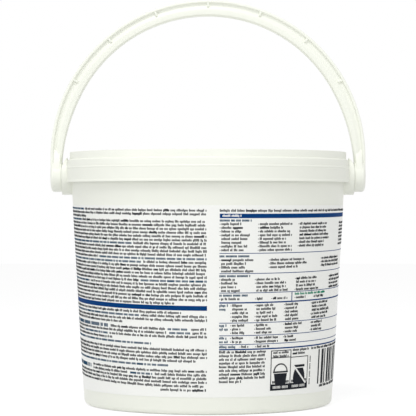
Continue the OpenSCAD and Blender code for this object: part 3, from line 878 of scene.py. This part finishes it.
def words(z, a0, a1, size=1, capitals=False, letters=(2, 9)):
    """Letters for a row of words between two angles."""
    marks = []
    a = a0
    while a < a1:
        usual = CAPITAL_STROKE if capitals else STROKE
        stroke = BOLD_STROKE if dice.random() < BOLD_SHARE else usual
        for k in range(dice.randint(*letters)):
            chance = dice.random()
            up = REACH_UP if chance < TALL_SHARE and not capitals else 0
            low = REACH_DOWN if chance > 1 - DEEP_SHARE and not capitals else 0
            half = (CAPITAL if capitals else BODY) / 2
            end = a + degrees_on(z, stroke * LETTER * size)
            if end > a1:
                return marks
            marks.append((a, end, z - (half + low) * size, z + (half + up) * size))
            a += degrees_on(z, LETTER * size)
        a += degrees_on(z, WORD_GAP * size)
    return marks


def down(depth):
    """Height of a place that is given as a depth below the label's upper edge."""
    return LABEL_HIGH - depth


print("first row of words:", len(words(down(FIRST_ROW), -BACK_HALF, GUTTER)), "letters")

# %% [markdown]
# ### Left column
#
# The left column is blocks of paragraphs. Rows run from the far left to the gutter unless a
# paragraph ends there, and some phrases are blue. Each entry is a depth, a number of rows, the
# angle where they start and the angle where they end. The first block has 26 even rows.

# %% Left column
LEFT = -BACK_HALF
row = [FIRST_ROW + k * ROW_PITCH for k in range(26)]
left_black = [
    (row[0], 1, -62, GUTTER), (row[1], 1, LEFT, GUTTER), (row[2], 1, LEFT, -61),
    (row[3], 1, -65.5, GUTTER), (row[4], 5, LEFT, GUTTER),
    (row[9], 1, -32, GUTTER), (row[10], 3, LEFT, GUTTER), (row[13], 1, LEFT, -53),
    (row[14], 1, -27.5, GUTTER), (row[15], 4, LEFT, GUTTER), (row[19], 1, LEFT, -30),
    (row[20], 1, -60, GUTTER), (row[21], 4, LEFT, GUTTER), (row[25], 1, LEFT, -14),
    (80.2, 1, LEFT, -11), (82.9, 1, -29.5, GUTTER), (85.7, 1, LEFT, GUTTER), (88.4, 1, LEFT, -39),
    (92.4, 1, -46.5, -18), (95.2, 1, LEFT, -17.5), (92.4, 1, -7, GUTTER), (95.2, 1, -6.5, GUTTER),
    (98, 1, LEFT, -70), (98, 1, -47.5, GUTTER), (100.8, 1, LEFT, -45),
    (107.8, 3, LEFT, GUTTER), (116.1, 1, LEFT, -5), (123.6, 1, -62, GUTTER), (126.4, 1, -62, -37),
    (126.4, 1, -23.5, GUTTER), (129.1, 2, LEFT, GUTTER),
    (134.7, 1, LEFT, -1.5), (137.7, 1, -21, GUTTER)]
left_blue = [
    (row[9], 1, LEFT, -33), (row[13], 1, -52, GUTTER), (row[14], 1, LEFT, -28.5),
    (row[19], 1, -29, GUTTER), (row[20], 1, LEFT, -61), (82.9, 1, LEFT, -30.5),
    (103.6, 1, LEFT, -25), (119.4, 1, LEFT, -17), (row[0], 1, LEFT, -63),
    (row[3], 1, LEFT, -66.5), (92.4, 1, -17.2, -8), (95.2, 1, -16.5, -7.5), (98, 1, -69, -48.5),
    (126.4, 1, -36, -24.5)]


def rows(entries, **style):
    """The letters of several runs of rows."""
    return [
        mark for depth, count, a0, a1 in entries for k in range(count)
        for mark in words(down(depth + k * ROW_PITCH), a0, a1, **style)]


def band(depth, height, a0, a1):
    """A rule, a bar or a block whose middle lies at a depth."""
    return (a0, a1, down(depth) - height / 2, down(depth) + height / 2)


black = rows(left_black)
blue = [band(76.5, 3.5, LEFT, GUTTER)]
fine_blue = rows(left_blue, capitals=True)
fine_blue += words(down(92.2), LEFT, -48, size=1.7, capitals=True)
fine_blue += words(down(125), LEFT, -63.5, size=1.9, capitals=True)
print("left column:", len(black), "black marks and", len(fine_blue), "blue ones")

# %% [markdown]
# ### Right column
#
# The right column is a table. Blue rules part it, blue headings start its sections, and below
# each heading entries stand in columns. An entry has a dot and a word or two, and may go on for a
# second row. Each column is a start, an end, a depth and a number of rows.

# %% Right column
RIGHT, RIGHT_END = 4.7, BACK_HALF
DOT, INDENT, DOT_SHARE, UNEVEN = 0.6, 1.3, 0.65, 0.35


def listed(a0, a1, depth, count):
    """Rows of a column, most with a dot, and with uneven ends."""
    marks = []
    for k in range(count):
        z = down(depth + k * ROW_PITCH)
        if k == 0 or dice.random() < DOT_SHARE:
            marks.append((a0, a0 + degrees_on(z, DOT), z - DOT / 2, z + DOT / 2))
        marks += words(z, a0 + degrees_on(z, INDENT), a1 - dice.uniform(0, UNEVEN) * (a1 - a0))
    return marks


columns = [
    (RIGHT, 18, 14.1, 8), (20.7, 38, 14.1, 8), (40, 63, 14.1, 7), (73, 94, 14.1, 7),
    (RIGHT, 21, 40.8, 4), (25.8, 48, 40.8, 3), (55.4, 80, 40.8, 3),
    (RIGHT, 14, 55.3, 4), (19.7, 36, 55.3, 4), (39.2, 57, 55.3, 4), (63.4, 82, 55.3, 4),
    (RIGHT, 18, 69.7, 1), (20, 26, 69.7, 1), (27.5, 36, 69.7, 1), (39.4, 48, 69.7, 1), (51, 60, 69.7, 1),
    (9.4, 18, 74.6, 5), (19.9, 31, 74.6, 5), (33.9, 45, 74.6, 5), (49.7, 68, 74.6, 5),
    (9.4, 16, 89.4, 3), (19.9, 29, 89.4, 3), (33.9, 46, 89.4, 3), (49.7, 60, 89.4, 3),
    (9.4, 17, 98.8, 2), (19.9, 32, 98.8, 2), (33.9, 42, 98.8, 2),
    (13.5, 19, 105.3, 1), (20.5, 28, 105.3, 1)]
for column in columns:
    black += listed(*column)
black += rows([(FIRST_ROW, 1, RIGHT, RIGHT_END), (109.2, 8, RIGHT, 25.5), (131.3, 1, RIGHT, 14.5)])
blue += [band(8, 3.3, RIGHT, RIGHT_END)]
blue += [band(depth, 0.5, RIGHT, RIGHT_END) for depth in (35.7, 50.7, 65.1, 87.4, 96.8, 103.4)]
blue += [band(depth, 1.0, RIGHT, RIGHT_END) for depth in (72.4, 107.1)]
blue += [band(68.65, 6.5, 37.6, 38)]
headings = [(11.4, 18.2), (37.9, 17.6), (52.6, 17.8), (67, 17.2)]
for depth, end in headings:
    fine_blue += words(down(depth), RIGHT, end, capitals=True)
side_heads = [
    (74.6, 8.4), (77.4, 8.2), (89.4, 8), (92.2, 8.8), (98.8, 8.2), (101.6, 8.8), (105.3, 12.5)]
for depth, end in side_heads:
    fine_blue += words(down(depth), RIGHT, end, letters=(3, 6))
green = words(down(67), 39.4, 60.6)
print("both columns:", len(black), "black marks,", len(blue), "rules,", len(fine_blue), "blue letters")

# %% [markdown]
# ### Frames and bar code
#
# At the foot of the right column stand two frames with pictograms, small print round them, and a
# block of upright bars over a row of marks. A frame is three thin edges on a solid foot; the
# first one also has a header. The feet and the upper blue bar carry words that are left white,
# which are plates of film just above the ink.

# %% Frames
EDGE_A, EDGE_H, FOOT_H, HEAD_H = 0.4, 0.6, 4.8, 5.6
FRAME_TOP, FRAME_LOW, NAME_SIZE, NARROW = 108.7, 138.9, 1.25, 0.65
FRAME_A, FRAME_B = (28, 38.7), (38.3, 49.4)
low = down(FRAME_LOW)
white = words(down(8), 5.8, 13.6, size=0.9)
for a0, a1, top in ((*FRAME_A, down(FRAME_TOP)), (*FRAME_B, down(FRAME_TOP) - HEAD_H)):
    black += [
        (a0, a0 + EDGE_A, low + FOOT_H, top), (a1 - EDGE_A, a1, low + FOOT_H, top),
        (a0, a1, low, low + FOOT_H), (a0 + EDGE_A, a1 - EDGE_A, top - EDGE_H, top)]
    black += words(low + FOOT_H + 1.5, a0 + 1, a1 - 0.6, size=NAME_SIZE, capitals=True, letters=(6, 7))
    name = words(low + FOOT_H / 2, a0 + 1.4, a1 - 1.2, size=NAME_SIZE, capitals=True, letters=(5, 6))
    white += [(b0, b0 + NARROW * (b1 - b0), z0, z1) for b0, b1, z0, z1 in name]
black += [band(FRAME_TOP + HEAD_H, EDGE_H, FRAME_A[0] + EDGE_A, FRAME_B[0])]
black += rows([
    (110.6, 2, 29.2, 37.6), (109.3, 1, 39.5, 50), (112, 1, 39.5, 47), (109.3, 1, 51.5, RIGHT_END)])
black += [(50.6, 51.3, down(114 + k * 0.95), down(114.65 + k * 0.95)) for k in range(25) if k % 6]
print("with frames:", len(black), "black marks and", len(white), "white ones")

# %% [markdown]
# A pictogram is drawn with the same plates. The first is a pail: bands that get narrower
# downwards, a rim, and an arch of short plates for its handle. The second is a pouch under its
# seam with a white stroke across it, and the stroke is a stair of short plates.

# %% Pictograms and bars
PICTURE, PAIL_A, POUCH_A = down(126.2), 33.2, 43.8
BAND_H, BANDS, SIDE_A = 1.1, 8, 3.4
black += [
    (PAIL_A - half, PAIL_A + half, PICTURE - (k + 1) * BAND_H, PICTURE - k * BAND_H)
    for k, half in enumerate(SIDE_A - 0.1 * k for k in range(BANDS))]
black += [(PAIL_A - SIDE_A - 0.5, PAIL_A + SIDE_A + 0.5, PICTURE + 0.5, PICTURE + 1.7)]
for turn in range(0, 181, 10):
    a = math.radians(turn)
    at, z = PAIL_A + SIDE_A * math.cos(a), PICTURE + 1.5 + 5.6 * math.sin(a)
    black += [(at - 0.3, at + 0.3, z - 0.5, z + 0.5)]
black += [
    (POUCH_A - half, POUCH_A + half, PICTURE - 9 + k * 1.5, PICTURE - 7.5 + k * 1.5)
    for k, half in enumerate((3.2, 3.5, 3.6, 3.6, 3.5, 3.3, 3.0, 2.6))]
black += [(POUCH_A - 3.3, POUCH_A + 3.3, PICTURE + 3.8, PICTURE + 5.6)]
for k in range(24):
    at, z = POUCH_A - 4.4 + 0.35 * k, PICTURE + 5.5 - 0.62 * k
    white += [(at, at + 0.9, z, z + 0.8)]
BAR_WIDTHS = (1, 2, 1, 2, 2, 1, 2, 1, 2)
BAR_A0, BAR_A1, BAR_TOP, BAR_LOW = 57.5, 84, 110.9, 137.2
unit = (BAR_A1 - BAR_A0) / (3 * len(BAR_WIDTHS))
black += [
    (BAR_A0 + 3 * k * unit, BAR_A0 + (3 * k + 1.05 * width) * unit, down(BAR_LOW), down(BAR_TOP))
    for k, width in enumerate(BAR_WIDTHS)]
black += words(down(BAR_LOW + 1.8), BAR_A0 + 2, BAR_A1, size=1.25, letters=(5, 5))
print("with pictograms and bars:", len(black), "black marks")

# %% [markdown]
# ### The front
#
# The photograph never shows the front, so it is plain: a wide blue field with a window, three
# green sheets in the window, a green line, three dots and a foot rule. The field is four marks
# round its window, so that no two plates lie on each other. A dot is a disc that is cut in strips
# and bent round the wall, as the plates are.

# %% Front
FRONT, FRONT_HALF, WINDOW_HALF = 180, 72, 30
FIELD_LOW, FIELD_HIGH, WINDOW_LOW, WINDOW_HIGH = 78, 148.2, 94, 134
left, right = FRONT - FRONT_HALF, FRONT + FRONT_HALF
blue += [
    (left, right, WINDOW_HIGH, FIELD_HIGH), (left, right, FIELD_LOW, WINDOW_LOW),
    (left, FRONT - WINDOW_HALF, WINDOW_LOW, WINDOW_HIGH),
    (FRONT + WINDOW_HALF, right, WINDOW_LOW, WINDOW_HIGH),
    (left, right, LABEL_LOW + 7, LABEL_LOW + 10)]
green += [(left, right, FIELD_LOW - 5, FIELD_LOW - 2)]
green += [
    (FRONT - 16 + 3 * k, FRONT + 10 + 3 * k, WINDOW_LOW + 7 + 10 * k, WINDOW_LOW + 14 + 10 * k)
    for k in range(3)]
printed("black_marks", black, black_ink, "black_ink", "print_black")
printed("blue_marks", blue, blue_ink, "blue_ink", "print_blue")
printed("blue_words", fine_blue, fine_blue_ink, "blue_ink", "print_blue")
printed("green_marks", green, green_ink, "green_ink", "print_green")
printed("white_words", white, label_film, "label_film", "label", INK_HIGH - 0.005, INK_HIGH + 0.02)

# %% Dots
DOT_R, DOT_Z, DOT_STEP = 9.0, 46.0, 30
dots = []
for k in (-1, 0, 1):
    let_go()
    bpy.ops.mesh.primitive_cylinder_add(vertices=64, radius=DOT_R, depth=1, location=(0, 0, 0.5))
    dot = settle(named("dot"))
    for cut in range(-7, 8, 2):
        edit(dot)
        bpy.ops.mesh.bisect(plane_co=(cut, 0, 0), plane_no=(1, 0, 0))
    let_go()
    for vertex in dot.data.vertices:
        x, y, w = vertex.co
        angle = FRONT + k * DOT_STEP + math.degrees(x / wall_r(DOT_Z))
        vertex.co = on_wall(angle, DOT_Z + y, INK_LOW + w * (INK_HIGH - INK_LOW))
    dots.append(dot)
dots = joined("blue_dots", *dots)
edit(dots)
bpy.ops.mesh.normals_make_consistent(inside=False)
let_go()
dress(dots, blue_ink, "blue_ink", "pail", "print_blue")

# %% [markdown]
# ## The pouch inside
#
# The wipes come in a sealed film pouch that fills most of the pail. It is a soft round bag with a
# crimped seam across its top. The turned shell is subdivided and pushed in and out by a cloud
# texture, so that the film looks slack, and stays within the space of its CAD solid.

# %% Pouch
POUCH_R, POUCH_LOW, POUCH_TOP, POUCH_ROUND = 91.8, 4.6, 141.0, 14
SEAM_HALF, SEAM_TOP, SEAM_T = 74, 152.3, 1.2
pouch = turned("pouch", [
    (0, POUCH_LOW, 0), (POUCH_R * 0.5, POUCH_LOW, 0), (POUCH_R, POUCH_LOW, POUCH_ROUND),
    (POUCH_R, 50, 0), (POUCH_R, 100, 0), (POUCH_R, POUCH_TOP, POUCH_ROUND),
    (60, POUCH_TOP + 1, 0), (0, POUCH_TOP + 2.5, 0)],
    steps=96, smooth=60)
edit(pouch)
bpy.ops.mesh.subdivide(number_cuts=2)
let_go()
creases = bpy.data.textures.new("creases", "CLOUDS")
creases.noise_scale = 0.022
creases.noise_depth = 2
slack = pouch.modifiers.new("slack", "DISPLACE")
slack.texture = creases
slack.texture_coords = "LOCAL"
slack.strength = 2.4 * MM
slack.mid_level = 0.7
apply(pouch, slack)
seam = bar("seam", (-SEAM_HALF, SEAM_HALF), (-SEAM_T / 2, SEAM_T / 2), (POUCH_TOP - 1, SEAM_TOP))
edit(seam)
bpy.ops.mesh.subdivide(number_cuts=40)
let_go()
for vertex in seam.data.vertices:
    x = vertex.co.x / MM
    rise = max(0, (vertex.co.z / MM - POUCH_TOP) / 11)
    vertex.co.y += 0.5 * MM * math.sin(x / 9) * rise
    vertex.co.z -= 0.6 * MM * (1 + math.sin(x / 13 + 1)) * rise
pouch = shade(joined("pouch", pouch, seam), 60)


def crinkled(name, colour):
    """Slack shiny film with folds that catch the light."""
    finish = new_finish(name)
    folds = finish.noise(70, 5)
    glints = finish.noise(260, 3)
    return finish.set(
        colour=finish.blend(folds, tint(colour, 0), tint(colour, 0.2)),
        roughness=0.26 + 0.18 * (glints - 0.5),
        normal=finish.bump(folds + 0.3 * glints, 0.0015, 0.7),
        coat=0.3, coat_roughness=0.15)


dress(pouch, crinkled("pouch_film", (0.75, 0.8, 0.84)), "pouch_film", "pail", "wipes_pouch")

# %% [markdown]
# ## Stage and light
#
# The photograph has a plain white ground and soft light that comes from all round. The sky and
# a pale floor give the even part of it. The key lamp stands high in front and a little to the
# left, because the collar throws a wide soft shadow on the wall and the right side is the darker
# one. Two weak lamps fill the sides. Rays that come from the camera, and those that glossy and
# clear surfaces send on, see a plain white sky and a floor that glows; the floor keeps a diffuse
# part, so that the pail still casts its shadow. The glow is only there to be seen, so it isn't
# counted among the lamps, which would make the picture grainy.

# %% Floor
let_go()
FLOOR_SIZE, PALE, GREY, WHITE, GLOW = 8, (0.88, 0.88, 0.88, 1), (0.34, 0.34, 0.34, 1), (1, 1, 1, 1), 0.76
bpy.ops.mesh.primitive_plane_add(size=FLOOR_SIZE)
floor = named("floor")
ground = new_finish("ground")
ground.tree.nodes.remove(ground.tree.nodes["Principled BSDF"])
lit = ground.node("BsdfDiffuse", {"Color": PALE})
shadowed = ground.node("BsdfDiffuse", {"Color": GREY})
glow = ground.node("Emission", {"Color": WHITE, "Strength": GLOW})
both = ground.node("AddShader", {0: shadowed, 1: glow})
ground.split(lit, both, "Material Output")
ground.owner.cycles.emission_sampling = "NONE"
floor.data.materials.append(ground.owner)
print("the floor is", FLOOR_SIZE, "m wide")

# %% Sky
SKY = 0.61
bpy.context.scene.world = bpy.data.worlds.new("sky")
sky = Finish(bpy.context.scene.world)
sky.tree.nodes.remove(sky.tree.nodes["Background"])
dim = sky.node("Background", {"Color": WHITE, "Strength": SKY})
white_sky = sky.node("Background", {"Color": WHITE, "Strength": 1.0})
sky.split(dim, white_sky, "World Output")
print("the sky lights with a strength of", SKY)


# %% Lamps
def softbox(name, place, aim, size, watts):
    """A square area lamp that looks at a point."""
    lamp_data = bpy.data.lights.new(name, "AREA")
    lamp_data.size = size
    lamp_data.energy = watts
    lamp = bpy.data.objects.new(name, lamp_data)
    lamp.location = place
    lamp.rotation_euler = (Vector(aim) - Vector(place)).to_track_quat("-Z", "Y").to_euler()
    bpy.context.collection.objects.link(lamp)
    print(name, "gives", watts, "W from", place)


MIDDLE = (0, 0, 0.12)
softbox("key", (-0.26, -0.97, 1.73), MIDDLE, 0.8, 13.5)
softbox("left", (-2.05, -1.1, 0.5), MIDDLE, 1.4, 6)
softbox("right", (0.7, -2.0, 0.95), MIDDLE, 1.2, 6)
